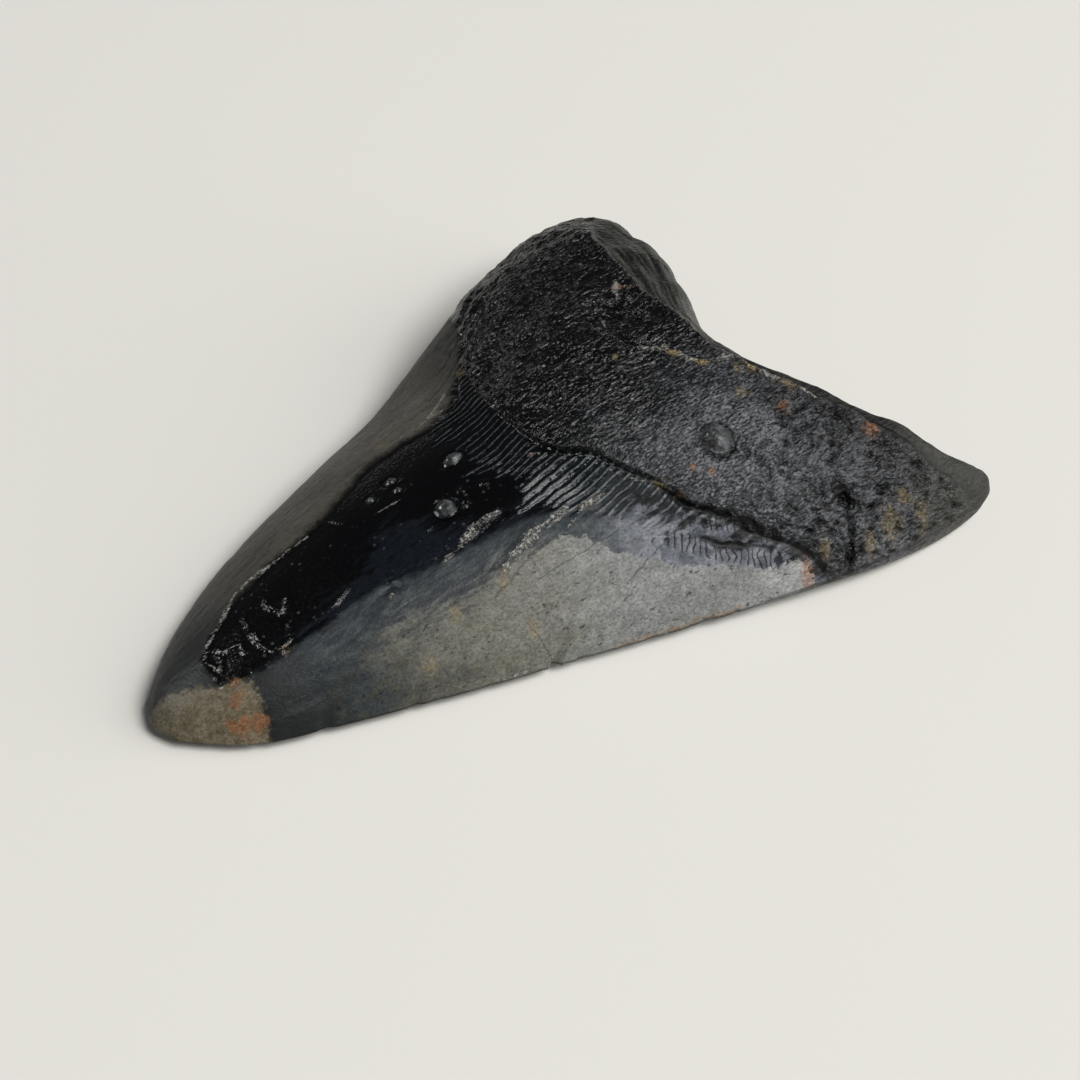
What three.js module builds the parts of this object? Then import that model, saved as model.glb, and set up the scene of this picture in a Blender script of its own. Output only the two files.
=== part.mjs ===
// A fossil megalodon tooth, lying on its flat labial (lip side) face.
//
// Frame, in millimetres: +X runs from the tip to the root, +Z up through the domed lingual
// (tongue side) face, and +Y to the side of the blunt root lobe. The origin is the middle of
// the bounding box's bottom, on the surface that the tooth lies on.
//
// The tooth is one closed skin. A position on it is (along, across): along is 0 at the tip
// and 1 at the root's end, across is -1 on the blunt lobe's edge and +1 on the pointed lobe's.
// The domed sheet and the flat sheet share their rim, which is the tooth's cutting edge.

import * as THREE from 'three';
import { mergeVertices } from 'three/addons/utils/BufferGeometryUtils.js';

// Outline of the tooth as seen from above, with the tip near x = 0. Each list runs from the
// tip to the root, and ROOT_END from the blunt lobe past the notch to the pointed lobe.
const BLUNT_EDGE = [
  [1.8, 4.0], [9, 10.1], [20, 16.1], [33, 20.7], [47, 24.6], [60, 28.5], [70, 31.8], [79, 34.1], [87, 34.6],
];
const POINTED_EDGE = [
  [1.6, -3.0], [8, -9.0], [17, -13.0], [33, -18.9], [47, -23.6], [60, -28.0], [72, -32.2], [83, -35.4],
  [94, -36.6],
];
const ROOT_END = [
  [87, 34.6], [92.4, 32.6], [95.2, 27.2], [95.2, 19.3], [92.3, 9.5], [88.8, 2], [88.0, -6], [90.0, -14],
  [94.5, -23.5], [99.5, -30.8], [102.2, -34.2], [100, -36.4], [94, -36.6],
];
const WORN_TIP = [[1.8, 4.0], [0.5, 0.6], [1.6, -3.0]];

// Lengths that the edge roundings are measured with
const TOOTH_LENGTH = 100;
const HALF_ROOT_WIDTH = 36;
const HALF_TIP_WIDTH = 6;

// Height of the rim over the surface below: a thin cutting edge, thicker round the root
const CUTTING_EDGE_HEIGHT = 1.6;
const ROOT_RIM_RISE = 3.4;
const RIM_TILT = 1.4;
const RIM_ROOT_FROM = 0.60;
const RIM_ROOT_TO = 0.95;

// Domed face of the crown
const CROWN_RIDGE_HEIGHT = 20;
const CROWN_RIDGE_LENGTH = 88;
const CROWN_RIDGE_POWER = 0.55;
const CROWN_DOME_POWER = 0.92;
const TIP_ROUNDING = 5;

// Domed face of the root, highest in the middle and lower on the lobes
const ROOT_HEIGHT = 19.4;
const LOBE_DROP = 6.8;
const ROOT_TILT = 0.8;
const POINTED_LOBE_DROP = 4.6;
const POINTED_LOBE_FROM = 0.35;
const ROOT_SIDE_ROUNDING = 14;
const ROOT_SIDE_POWER = 1.2;
const ROOT_FROM = 0.60;
const ROOT_TO = 0.84;
const ROOT_CHEVRON = 0.08;

// Basal face of the root: a sloping strip, widest on the blunt lobe, over a rounded edge
const BASAL_STRIP = 11;
const BASAL_STRIP_NARROWING = 5.5;
const STRIP_NARROWS_FROM = -0.5;
const STRIP_NARROWS_TO = 0.3;
const BASAL_SLOPE = 0.30;
const BASAL_SLOPE_POWER = 1.3;
const BASAL_ROUNDING = 5;

// Flat face below, and how far in from the rim it becomes flat
const CROWN_BEVEL = 9;
const ROOT_UNDER_ROUNDING = 9;
const BASAL_UNDER_ROUNDING = 8;
const TIP_BEVEL = 6;

// Steps of the mesh along and across the tooth, and how much closer they are at the rim
const STEPS_ALONG = 46;
const STEPS_ACROSS = 40;
const RIM_CLOSENESS = 0.55;

const clamp = (value) => THREE.MathUtils.clamp(value, 0, 1);

// 0 on a rim, 1 from radius inwards, and round like a quarter circle between
const quarterRound = (inset, radius) => Math.sqrt(1 - (1 - clamp(inset / radius)) ** 2);

// 0 on a rim, 1 from width inwards, and a shallow curve between
const bevel = (inset, width) => 1 - (1 - clamp(inset / width)) ** 2;

const rimSpacing = (share) => (
  (1 - RIM_CLOSENESS) * share + RIM_CLOSENESS * 0.5 * (1 - Math.cos(Math.PI * share))
);

function outlineCurve(points) {
  return new THREE.SplineCurve(points.map(([x, y]) => new THREE.Vector2(x, y)));
}

const bluntEdge = outlineCurve(BLUNT_EDGE);
const pointedEdge = outlineCurve(POINTED_EDGE);
const rootEnd = outlineCurve(ROOT_END);
const wornTip = outlineCurve(WORN_TIP);

// The place seen from above, blended from the four outline curves (a Coons patch)
function placeInPlan(along, across) {
  const side = (across + 1) / 2;
  const place = new THREE.Vector2();
  place.addScaledVector(bluntEdge.getPointAt(along), 1 - side);
  place.addScaledVector(pointedEdge.getPointAt(along), side);
  place.addScaledVector(wornTip.getPointAt(side), 1 - along);
  place.addScaledVector(rootEnd.getPointAt(side), along);
  place.addScaledVector(wornTip.getPointAt(0), -(1 - along) * (1 - side));
  place.addScaledVector(wornTip.getPointAt(1), -(1 - along) * side);
  place.addScaledVector(rootEnd.getPointAt(0), -along * (1 - side));
  place.addScaledVector(rootEnd.getPointAt(1), -along * side);
  return place;
}

function rimHeight(along, across) {
  const rooted = THREE.MathUtils.smoothstep(along, RIM_ROOT_FROM, RIM_ROOT_TO);
  return CUTTING_EDGE_HEIGHT + rooted * (ROOT_RIM_RISE - RIM_TILT * across);
}

// How high the crown's dome stands over the rim
function crownDome(along, across, x) {
  const ridge = CROWN_RIDGE_HEIGHT * (Math.max(x, 0) / CROWN_RIDGE_LENGTH) ** CROWN_RIDGE_POWER;
  const section = (1 - across ** 2) ** CROWN_DOME_POWER;
  return ridge * section * quarterRound(along * TOOTH_LENGTH, TIP_ROUNDING);
}

// How high the root's body stands over the rim
function rootBody(along, across) {
  const pointed = THREE.MathUtils.smoothstep(across, POINTED_LOBE_FROM, 1);
  const height = ROOT_HEIGHT - LOBE_DROP * across ** 2 - ROOT_TILT * across - POINTED_LOBE_DROP * pointed;
  const inset = (1 - Math.abs(across)) * HALF_ROOT_WIDTH;
  return (height - rimHeight(along, across)) * quarterRound(inset, ROOT_SIDE_ROUNDING) ** ROOT_SIDE_POWER;
}

function basalFace(along, across) {
  const inset = (1 - along) * TOOTH_LENGTH;
  const narrowing = THREE.MathUtils.smoothstep(across, STRIP_NARROWS_FROM, STRIP_NARROWS_TO);
  const strip = BASAL_STRIP - BASAL_STRIP_NARROWING * narrowing;
  const slope = 1 - BASAL_SLOPE * (1 - clamp(inset / strip)) ** BASAL_SLOPE_POWER;
  return quarterRound(inset, BASAL_ROUNDING) * slope;
}

function domedFace(along, across, x) {
  const rooted = THREE.MathUtils.smoothstep(along + ROOT_CHEVRON * across ** 2, ROOT_FROM, ROOT_TO);
  const dome = THREE.MathUtils.lerp(crownDome(along, across, x), rootBody(along, across), rooted);
  return rimHeight(along, across) + dome * basalFace(along, across);
}

function flatFace(along, across) {
  const halfWidth = THREE.MathUtils.lerp(HALF_TIP_WIDTH, HALF_ROOT_WIDTH, along);
  const sideInset = (1 - Math.abs(across)) * halfWidth;
  const rooted = THREE.MathUtils.smoothstep(along, RIM_ROOT_FROM, RIM_ROOT_TO);
  const side = THREE.MathUtils.lerp(
    bevel(sideInset, CROWN_BEVEL),
    quarterRound(sideInset, ROOT_UNDER_ROUNDING),
    rooted,
  );
  const tip = bevel(along * TOOTH_LENGTH, TIP_BEVEL);
  const basal = quarterRound((1 - along) * TOOTH_LENGTH, BASAL_UNDER_ROUNDING);
  return rimHeight(along, across) * (1 - side * tip * basal);
}

// One sheet of the skin as triangles, facing up or down
function addSheet(corners, heightAt, facesUp) {
  const pointAt = (i, j) => {
    const along = rimSpacing(i / STEPS_ALONG);
    const across = 2 * rimSpacing(j / STEPS_ACROSS) - 1;
    const { x, y } = placeInPlan(along, across);
    const onRim = i === 0 || i === STEPS_ALONG || j === 0 || j === STEPS_ACROSS;
    return [x, y, onRim ? rimHeight(along, across) : heightAt(along, across, x)];
  };
  for (let i = 0; i < STEPS_ALONG; i += 1) {
    for (let j = 0; j < STEPS_ACROSS; j += 1) {
      const [a, b, c, d] = [pointAt(i, j), pointAt(i + 1, j), pointAt(i + 1, j + 1), pointAt(i, j + 1)];
      corners.push(...(facesUp ? [a, c, b, a, d, c] : [a, b, c, a, c, d]).flat());
    }
  }
}

function toothGeometry() {
  const corners = [];
  addSheet(corners, domedFace, true);
  addSheet(corners, flatFace, false);
  const skin = new THREE.BufferGeometry();
  skin.setAttribute('position', new THREE.Float32BufferAttribute(corners, 3));
  skin.computeBoundingBox();
  const { min, max } = skin.boundingBox;
  skin.translate(-(min.x + max.x) / 2, -(min.y + max.y) / 2, -min.z);
  const closed = mergeVertices(skin);
  closed.computeVertexNormals();
  return closed;
}

const fossil = new THREE.MeshStandardMaterial({ color: 0x2b2d2f, roughness: 0.5, metalness: 0 });
const tooth = new THREE.Mesh(toothGeometry(), fossil);
tooth.name = 'tooth';

const part = new THREE.Group();
part.add(tooth);

export default part;
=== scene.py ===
"""Looks of the fossil megalodon tooth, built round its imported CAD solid.

One fine skin replaces the CAD solid. It is lofted from the same outlines, and the wear of the
real fossil is then laid on it: the bare black core, the enamel bands, the ridged bourlette
between crown and root, and the granular root. Lengths are in millimetres in the row frame
until the mesh is made: +X runs from the tip to the root, +Y to the blunt lobe's side, +Z up.
"""
import math
import bpy
import numpy as np
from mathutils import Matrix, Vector


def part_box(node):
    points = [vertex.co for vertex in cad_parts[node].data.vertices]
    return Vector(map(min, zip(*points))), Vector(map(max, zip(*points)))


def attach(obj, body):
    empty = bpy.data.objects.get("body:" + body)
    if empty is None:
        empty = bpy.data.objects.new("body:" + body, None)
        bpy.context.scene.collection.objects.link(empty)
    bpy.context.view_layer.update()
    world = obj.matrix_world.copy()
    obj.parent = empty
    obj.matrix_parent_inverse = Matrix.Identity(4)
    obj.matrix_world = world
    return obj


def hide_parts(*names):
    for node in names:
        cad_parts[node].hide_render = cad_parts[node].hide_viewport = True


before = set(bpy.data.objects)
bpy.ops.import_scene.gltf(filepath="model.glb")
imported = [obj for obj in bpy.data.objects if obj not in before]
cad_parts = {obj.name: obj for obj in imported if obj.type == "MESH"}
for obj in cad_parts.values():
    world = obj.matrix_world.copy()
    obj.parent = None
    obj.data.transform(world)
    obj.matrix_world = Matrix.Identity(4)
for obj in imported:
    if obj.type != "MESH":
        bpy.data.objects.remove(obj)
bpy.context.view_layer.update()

MM = 0.001
TOOTH_LOW, TOOTH_HIGH = (np.array(corner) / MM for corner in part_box("tooth"))

# ---------------------------------------------------------------- the CAD solid's own shape

# Outline seen from above, as in the CAD solid, with the tip near x = 0
BLUNT_EDGE = [
    (1.8, 4.0), (9, 10.1), (20, 16.1), (33, 20.7), (47, 24.6), (60, 28.5), (70, 31.8), (79, 34.1),
    (87, 34.6),
]
POINTED_EDGE = [
    (1.6, -3.0), (8, -9.0), (17, -13.0), (33, -18.9), (47, -23.6), (60, -28.0), (72, -32.2),
    (83, -35.4), (94, -36.6),
]
ROOT_END = [
    (87, 34.6), (92.4, 32.6), (95.2, 27.2), (95.2, 19.3), (92.3, 9.5), (88.8, 2), (88.0, -6),
    (90.0, -14), (94.5, -23.5), (99.5, -30.8), (102.2, -34.2), (100, -36.4), (94, -36.6),
]
WORN_TIP = [(1.8, 4.0), (0.5, 0.6), (1.6, -3.0)]
CURVE_DIVISIONS = 200

TOOTH_LENGTH = 100
HALF_ROOT_WIDTH = 36
HALF_TIP_WIDTH = 6

CUTTING_EDGE_HEIGHT = 1.6
ROOT_RIM_RISE = 3.4
RIM_TILT = 1.4
RIM_ROOT = (0.60, 0.95)

CROWN_RIDGE_HEIGHT = 20
CROWN_RIDGE_LENGTH = 88
CROWN_RIDGE_POWER = 0.55
CROWN_DOME_POWER = 0.92
TIP_ROUNDING = 5

ROOT_HEIGHT = 19.4
LOBE_DROP = 6.8
ROOT_TILT = 0.8
POINTED_LOBE_DROP = 4.6
POINTED_LOBE_FROM = 0.35
ROOT_SIDE_ROUNDING = 14
ROOT_SIDE_POWER = 1.2
ROOT_BLEND = (0.60, 0.84)
ROOT_CHEVRON = 0.08

BASAL_STRIP = 11
BASAL_STRIP_NARROWING = 5.5
STRIP_NARROWS = (-0.5, 0.3)
BASAL_SLOPE = 0.30
BASAL_SLOPE_POWER = 1.3
BASAL_ROUNDING = 5

CROWN_BEVEL = 9
ROOT_UNDER_ROUNDING = 9
BASAL_UNDER_ROUNDING = 8
TIP_BEVEL = 6

# Steps of the fine skin. The flat sheet below uses every third line of the domed one.
STEPS_ALONG = 288
STEPS_ACROSS = 300
FLAT_STRIDE = 3
ROOT_CLOSENESS = 0.15
RIM_CLOSENESS = 0.25

# ---------------------------------------------------------------- zones of the domed face

# Each is a line or a closed outline in the row frame, seen from above.

# The bourlette's root side, where its ridges end and the root begins, from the blunt edge
ROOT_LINE = [
    (18, 33), (13, 25), (9, 20), (6.5, 15.8), (4.1, 9.6), (2.9, 4.2), (2.8, 0.3), (3.2, -3.4),
    (4.6, -6), (6.9, -8.3), (8.4, -12), (10.4, -15.4), (12.2, -19.5), (17, -24.3), (22, -29),
    (26, -34),
]
# The bourlette's crown side, where its ridges begin
CROWN_LINE = [
    (2, 17), (-2.2, 11.6), (-3.3, 5.2), (-3.8, 1.8), (-3.6, -1.8), (-2.8, -6.4), (0.2, -10.3),
    (4.1, -13.2), (7.1, -16.6), (10, -19.5),
]
# The bare core's border with the enamel band on the blunt side, from the tip
FAR_BORDER = [
    (-43.5, -0.5), (-43, 2.4), (-41, 4), (-36, 6.6), (-30, 8), (-22, 8.2), (-17, 10), (-12, 12),
    (-7, 12.2), (-3, 11.2), (2, 13.5), (7, 18), (11, 23), (16, 32),
]
# Where the bare core begins to fade into the enamel on the pointed side, from the tip
FADE_LINE = [
    (-52, 1), (-44, -1.5), (-38, -3.6), (-30, -2.6), (-24, -1.0), (-18, 1.4), (-14, 0.5),
    (-11.5, -4.6), (-6, -7.2), (0, -10), (5, -15), (12, -21.5), (21, -29.5), (26, -34),
]
# The crisp border between that and the blue-grey enamel, from the tip
BAND_LINE = [
    (-52, -2), (-44, -2.8), (-38, -3.8), (-29.8, -4.6), (-23.9, -4.8), (-15.7, -7.3), (-9, -8.2),
    (-3, -9.6), (2, -13.2), (6, -16.5), (12, -22.5), (21, -30), (26, -34),
]
# Upper border of the pale enamel patch on the pointed side, from the tip
PATCH_BORDER = [
    (-15, -14), (-10.6, -12.2), (-2, -13.6), (0.2, -15), (1.5, -17.2), (5, -20), (8.6, -22.9),
    (15, -27), (21.4, -30.1), (24, -34),
]
# Worn beige tip
TIP_PATCH = [
    (-56, 4), (-49.3, 2.6), (-47.7, 1.4), (-46, 0.5), (-44.8, -0.7), (-43.9, -1.9), (-42.3, -2.3),
    (-41, -2.8), (-40.5, -3.9), (-40.5, -5.3), (-40.9, -7.3), (-41.4, -8), (-42.5, -12), (-56, -12),
]
# The shoulder between the granular root and its smooth basal strip
SHOULDER = [
    (48, 38), (40, 30), (35.5, 25.5), (33.4, 22.5), (32.4, 19.5), (31, 13.5), (29.9, 8.5), (30.1, 4),
    (29.5, -1.6), (29.4, -5.1), (31.3, -11.1), (34.2, -18.8), (37.1, -24.7), (40.9, -29.9), (44, -35),
    (50, -40),
]
# Corners, all well off the tooth, that close each open line round its zone
ROOT_CORNERS = [(26, -60), (80, -60), (80, 60), (18, 60)]
CORE_CORNERS = [(80, 32), (80, -60), (-43.5, -60)]
FADE_CORNERS = [(26, -60), (-52, -60)]
PATCH_CORNERS = [(24, -60), (-15, -60)]
SHOULDER_CORNERS = [(90, -40), (90, 40)]
BOURLETTE_CORNERS = [(40, -40), (40, 40)]
# Crusts of pale crumbs left along broken enamel: a line and its half width
CRUSTS = [
    ([(-43.1, 1.8), (-41.4, 3.5), (-38, 5.3), (-34.9, 7.1), (-31.4, 7.7), (-27.3, 7.6), (-24, 7.4)], 0.26),
    ([(-43.1, 1.8), (-42.4, -0.4), (-41.2, 0.6)], 0.30),
    ([(-33.2, 3.9), (-33.8, 2.4), (-33.2, 1.0)], 0.18),
    ([(-36.5, 3.2), (-37, 1.3), (-37.2, -1.5), (-36.8, -2.9)], 0.24),
    ([(-33.5, -1.8), (-34.3, -3.2), (-36, -3.4)], 0.18),
    ([(-25.4, -2.8), (-27.8, -3.4), (-29.7, -3.3), (-30.5, -3.1)], 0.18),
    ([(-33.0, 0.2), (-31.6, 1.4)], 0.50),
    ([(-41.6, 3.0), (-40.4, 1.2), (-38.8, 0.4), (-38.9, -1.2)], 0.16),
    ([(-13.7, 2.9), (-17.3, 3.3)], 0.12),
    ([(-13.3, -3.2), (-16.1, -3.4)], 0.13),
    ([(25.2, 6.4), (26.8, 6.2), (27.2, 4.6), (26.2, 3.8)], 0.24),
    ([(-21.5, 7.7), (-20.8, 6.2), (-20.3, 4.9)], 0.12),
    ([(-15, -7.7), (-11.7, -7.0), (-9.4, -6.4), (-6.2, -6.5)], 0.65),
    ([(-22.7, -7.2), (-22.2, -6.8)], 0.35),
    ([(-9.9, -12.2), (-5.2, -11.3), (0.1, -11.4)], 0.9),
    ([(-1.5, -13.2), (2, -12.4), (5.2, -12.8)], 0.4),
    ([(-3.7, 12.7), (-0.6, 13.2), (2.6, 14.8)], 0.3),
    ([(-15.4, -18.9), (-12.7, -19.6)], 0.22),
    ([(21.8, 7.9), (20.4, 4.4), (20.7, 1.5), (21.8, 0.2)], 0.2),
    ([(21.8, 0.2), (23.7, -0.9), (26.0, -6.2), (30.2, -7.8)], 0.8),
    ([(30.2, -7.8), (30.6, -11.5), (32.2, -15.0), (33.8, -19.0)], 0.55),
    ([(26.2, 9.6), (27.2, 11.0), (28.6, 12.6)], 0.45),
    ([(7.5, -12.6), (10.6, -16.0), (11.6, -17.6)], 0.22),
    ([(1.2, -3.0), (2.4, -4.2)], 0.28),
]
# Undercut ledges where the bourlette's enamel broke away below the root
LEDGES = [
    [(10.4, -15.4), (11.7, -19.4), (15.3, -22.3), (19.3, -25.9), (20.5, -27.9)],
    [(11.0, -21.9), (14.4, -24.5), (19.5, -27.9)],
]
# Rows of short grooves across that broken enamel: a line and its half width
GROOVES = [
    ([(8.5, -20.5), (12.1, -23.5), (15.3, -26.2), (19, -28.6)], 1.0),
    ([(11.6, -20.6), (15.7, -23.6), (19.6, -27.0)], 0.8),
]
# Cracks and folds: a line, its half width, and its depth (negative where it stands proud)
CRACKS = [
    ([(29.6, -28.7), (28.8, -30.5), (28.1, -32.0), (26.6, -33.2)], 0.7, 0.8),
    ([(29.2, -27.4), (30.2, -29.6)], 1.2, 0.7),
    ([(33.1, -22.3), (30.9, -24.1)], 0.5, 0.45),
    ([(35.8, -20.0), (33.6, -21.6), (34.4, -24.4)], 0.5, 0.35),
    ([(29.2, -15.5), (28.2, -19.5)], 0.8, 0.40),
    ([(30.6, -15.9), (29.6, -19.9)], 0.8, -0.35),
    ([(21.2, -19.4), (22.2, -21), (21.7, -23.2)], 0.5, 0.35),
    ([(22.2, -19.0), (23.4, -21), (22.9, -23.6)], 0.6, -0.25),
    ([(23.6, -17.6), (25.2, -20.6), (24.6, -25.0)], 0.5, 0.25),
    ([(21.8, 7.9), (20.4, 4.4), (20.7, 1.5), (21.8, 0.2)], 0.35, -0.25),
    ([(23.0, 8.6), (21.9, 4.4), (22.2, 1.6), (24.1, -1.4), (27.5, -6.4)], 0.9, 0.35),
    ([(25.2, 6.2), (26.8, 6.0), (26.9, 4.4), (25.8, 3.9)], 0.40, -0.55),
    ([(25.9, 5.2), (26.1, 4.9)], 0.6, 0.6),
    ([(22.4, 11.5), (25.4, 9.6), (24.2, 6.8)], 0.9, 0.45),
    ([(-22.4, -6.0), (-21.2, -6.2)], 0.8, 0.35),
    ([(-3.7, 12.9), (0.4, 12.4), (3.2, 14.0)], 0.5, 0.45),
    ([(-1.2, 11.2), (2.6, 12.6), (5.3, 15.9)], 0.4, 0.35),
    ([(9.5, 24.7), (13.5, 25.6), (17, 28)], 0.7, 0.30),
    ([(5.5, 20.5), (11.8, 23.2), (16.6, 25.2)], 0.7, 0.35),
    ([(1.0, 16.4), (6, 18.6), (10, 20.4)], 0.6, 0.30),
]
# Hairline cracks in the enamel, each from one end to the other
HAIRLINES = [
    ((3.4, -16.6), (-6.5, -15.2)), ((-4.0, -13.0), (-12, -13.6)), ((-7, -9.9), (-22, -8.2)),
    ((-14.5, -8.2), (-23.5, -6.2)), ((-15.7, -6.6), (-27, -3.9)), ((-10.4, -17.8), (-9.5, -20.6)),
    ((8.0, -20.4), (2.5, -20.6)), ((-2, -12.2), (-9.6, -13.4)), ((-11.0, -4.2), (-19.5, -3.0)),
]
# Small smooth domes left on the surface: x, y, radius, height, and how much longer along X
DOMES = [
    (-10.6, -2.0, 1.3, 0.9, 1.0), (-5.2, 3.5, 0.85, 0.6, 1.7), (-15.8, 5.9, 0.6, 0.35, 1.0),
    (-12.3, 6.7, 0.65, 0.35, 1.3), (-12.7, 4.7, 0.6, 0.3, 1.0), (-8.6, -3.4, 0.4, 0.3, 1.0),
    (19.6, -16.4, 2.0, 1.3, 1.0),
]
# Low mounds with crumbs on them: x, y, radius, height
MOUNDS = [
    (10.5, 6.5, 1.2, 0.35), (18.2, 0.5, 1.7, 0.5), (13.2, -1.4, 0.8, 0.3), (23.0, 9.6, 0.6, 0.3),
    (16.2, -13.4, 1.3, 0.3), (35.0, -22.8, 1.3, 0.7), (12.8, -18.0, 1.6, 0.35), (27.3, 8.6, 0.7, 0.4),
    (-7.6, -1.2, 0.6, 0.3), (-5.0, -2.4, 0.7, 0.3),
]
# Rust-coloured and ochre stains: x, y, radius
RUST_SPOTS = [
    (27.6, 11.4, 1.1), (27.4, 8.8, 0.5), (14.9, -17.2, 0.8), (16.5, -18.9, 0.8), (36.7, -25.1, 1.6),
    (21.8, -31.0, 1.5), (12.0, -18.4, 0.7), (29.6, -17.2, 1.4), (-42.7, -4.2, 1.5),
    (-41.9, -3.0, 0.8), (-44.5, -5.6, 1.0), (-43.3, -6.6, 1.3), (-42.0, -7.4, 1.4), (1.5, -3.4, 0.5),
]
OCHRE_SPOTS = [
    (10.7, -16.2, 0.9), (24.3, -2.8, 1.0), (26.2, -6.4, 1.1), (29.2, -9.4, 1.2), (33.5, -33.0, 2.2),
    (37.5, -34.1, 1.8), (30.2, -33.0, 1.4), (36.2, -32.0, 1.6), (-8.3, 13.9, 1.4), (6.4, 16.5, 1.2),
    (-35.5, -4.0, 0.9), (-10.9, -13.2, 1.4), (-10.4, -18.0, 1.5), (-17.3, -12.3, 1.6),
    (-22.4, -14.1, 1.5), (18.2, 0.9, 1.0), (28.8, 10.4, 0.8), (27.0, -12.8, 1.6), (24.6, -30.6, 1.4),
    (30.6, -10.5, 1.2), (32.4, -15.6, 1.3),
]
# Where an orange-brown stain runs along the cutting edge on the pointed side, in x
EDGE_STAIN = (-3.5, 15)

SEED = 46


def lerp(first, second, share):
    return first + (second - first) * share


def smoothstep(value, start, end):
    share = np.clip((value - start) / (end - start), 0, 1)
    return share * share * (3 - 2 * share)


def quarter_round(inset, radius):
    """0 on a rim, 1 from radius inwards, and round like a quarter circle between."""
    return np.sqrt(1 - (1 - np.clip(inset / radius, 0, 1)) ** 2)


def bevel(inset, width):
    """0 on a rim, 1 from width inwards, and a shallow curve between."""
    return 1 - (1 - np.clip(inset / width, 0, 1)) ** 2


def hump(distance, radius):
    """1 in the middle, falling smoothly to 0 at the radius."""
    return np.clip(1 - (distance / radius) ** 2, 0, 1) ** 2


# ---------------------------------------------------------------- seeded noise

NOISE_TABLE = 1024
NOISE_GAIN = 1.7


def cell_random(cells, seed, count):
    """The same random numbers in -1..1 for the same whole-numbered cell."""
    rng = np.random.default_rng(seed)
    order = rng.permutation(NOISE_TABLE)
    table = rng.uniform(-1, 1, (NOISE_TABLE, count))
    index = np.zeros(cells.shape[:-1], int)
    for axis in range(cells.shape[-1]):
        index = order[(index + cells[..., axis]) % NOISE_TABLE]
    return table[index]


def noise(points, size, seed, octaves=1):
    """Smooth gradient noise, about -1..1, with lumps of about the given size in mm."""
    total = np.zeros(points.shape[:-1])
    for octave in range(octaves):
        scaled = points / size * 2 ** octave
        cell = np.floor(scaled).astype(int)
        inside = scaled - cell
        fade = inside ** 3 * (inside * (inside * 6 - 15) + 10)
        for corner in np.ndindex(*(2,) * points.shape[-1]):
            slope = cell_random(cell + corner, seed + octave, points.shape[-1])
            reach = np.prod(np.where(corner, fade, 1 - fade), axis=-1)
            total += reach * np.sum(slope * (inside - corner), axis=-1) * NOISE_GAIN / 2 ** octave
    return total


def drawn_out(points, share):
    """Places squeezed along X, so that noise over them is drawn out along the tooth."""
    return points * (share, 1, 1)


# ---------------------------------------------------------------- distances in the plan

def distance_to(points, line):
    """Distance of each point from a line of straight stretches, and the share along it."""
    line = np.array(line, float)
    lengths = np.linalg.norm(np.diff(line, axis=0), axis=1)
    before = np.concatenate([[0], np.cumsum(lengths)])
    best = np.full(points.shape[:-1], np.inf)
    share = np.zeros(points.shape[:-1])
    for start, end, length, done in zip(line, line[1:], lengths, before):
        step = (end - start) / length
        reach = np.clip((points[..., :2] - start) @ step, 0, length)
        gap = np.linalg.norm(points[..., :2] - start - reach[..., None] * step, axis=-1)
        share = np.where(gap < best, (done + reach) / before[-1], share)
        best = np.minimum(best, gap)
    return best, share


def depth_inside(points, outline):
    """Depth inside a closed outline, negative outside it."""
    closed = list(outline) + [outline[0]]
    inside = np.zeros(points.shape[:-1], bool)
    x, y = points[..., 0], points[..., 1]
    for (x0, y0), (x1, y1) in zip(closed, closed[1:]):
        if y0 == y1:
            continue
        crosses = (y0 > y) != (y1 > y)
        inside ^= crosses & (x < x0 + (y - y0) * (x1 - x0) / (y1 - y0))
    gap, _ = distance_to(points, closed)
    return np.where(inside, gap, -gap)


def beyond(points, line, far_corners):
    """Distance past an open line, towards the far corners that close it; negative before it."""
    depth = depth_inside(points, list(line) + list(far_corners))
    gap, _ = distance_to(points, line)
    return np.where(depth > 0, gap, -gap)


# ---------------------------------------------------------------- the lofted skin

def curve_points(corners, shares):
    """A smooth curve through the corners (uniform Catmull-Rom), at shares of its length."""
    corners = np.array(corners, float)
    last = len(corners) - 1
    position = np.linspace(0, last, CURVE_DIVISIONS + 1)
    stretch = np.minimum(position.astype(int), last - 1)
    t = (position - stretch)[:, None]
    before = corners[np.where(stretch == 0, 0, stretch - 1)]
    start, end = corners[stretch], corners[stretch + 1]
    after = corners[np.minimum(stretch + 2, last)]
    leaving, arriving = (end - before) / 2, (after - start) / 2
    curve = (2 * start - 2 * end + leaving + arriving) * t ** 3
    curve += (3 * end - 3 * start - 2 * leaving - arriving) * t ** 2 + leaving * t + start
    length = np.concatenate([[0], np.cumsum(np.linalg.norm(np.diff(curve, axis=0), axis=1))])
    length /= length[-1]
    return np.stack([np.interp(shares, length, curve[:, axis]) for axis in (0, 1)], axis=-1)


def place_in_plan(along, across):
    """The place seen from above, blended from the four outline curves (a Coons patch)."""
    side = ((across + 1) / 2)[..., None]
    reach = along[..., None]
    blunt, pointed = curve_points(BLUNT_EDGE, along), curve_points(POINTED_EDGE, along)
    tip, root = (curve_points(line, side[..., 0]) for line in (WORN_TIP, ROOT_END))
    corners = (1 - side) * np.array(WORN_TIP[0]) + side * np.array(WORN_TIP[-1])
    root_corners = (1 - side) * np.array(ROOT_END[0]) + side * np.array(ROOT_END[-1])
    place = (1 - side) * blunt + side * pointed + (1 - reach) * tip + reach * root
    return place - (1 - reach) * corners - reach * root_corners


def rim_height(along, across):
    return CUTTING_EDGE_HEIGHT + smoothstep(along, *RIM_ROOT) * (ROOT_RIM_RISE - RIM_TILT * across)


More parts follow.
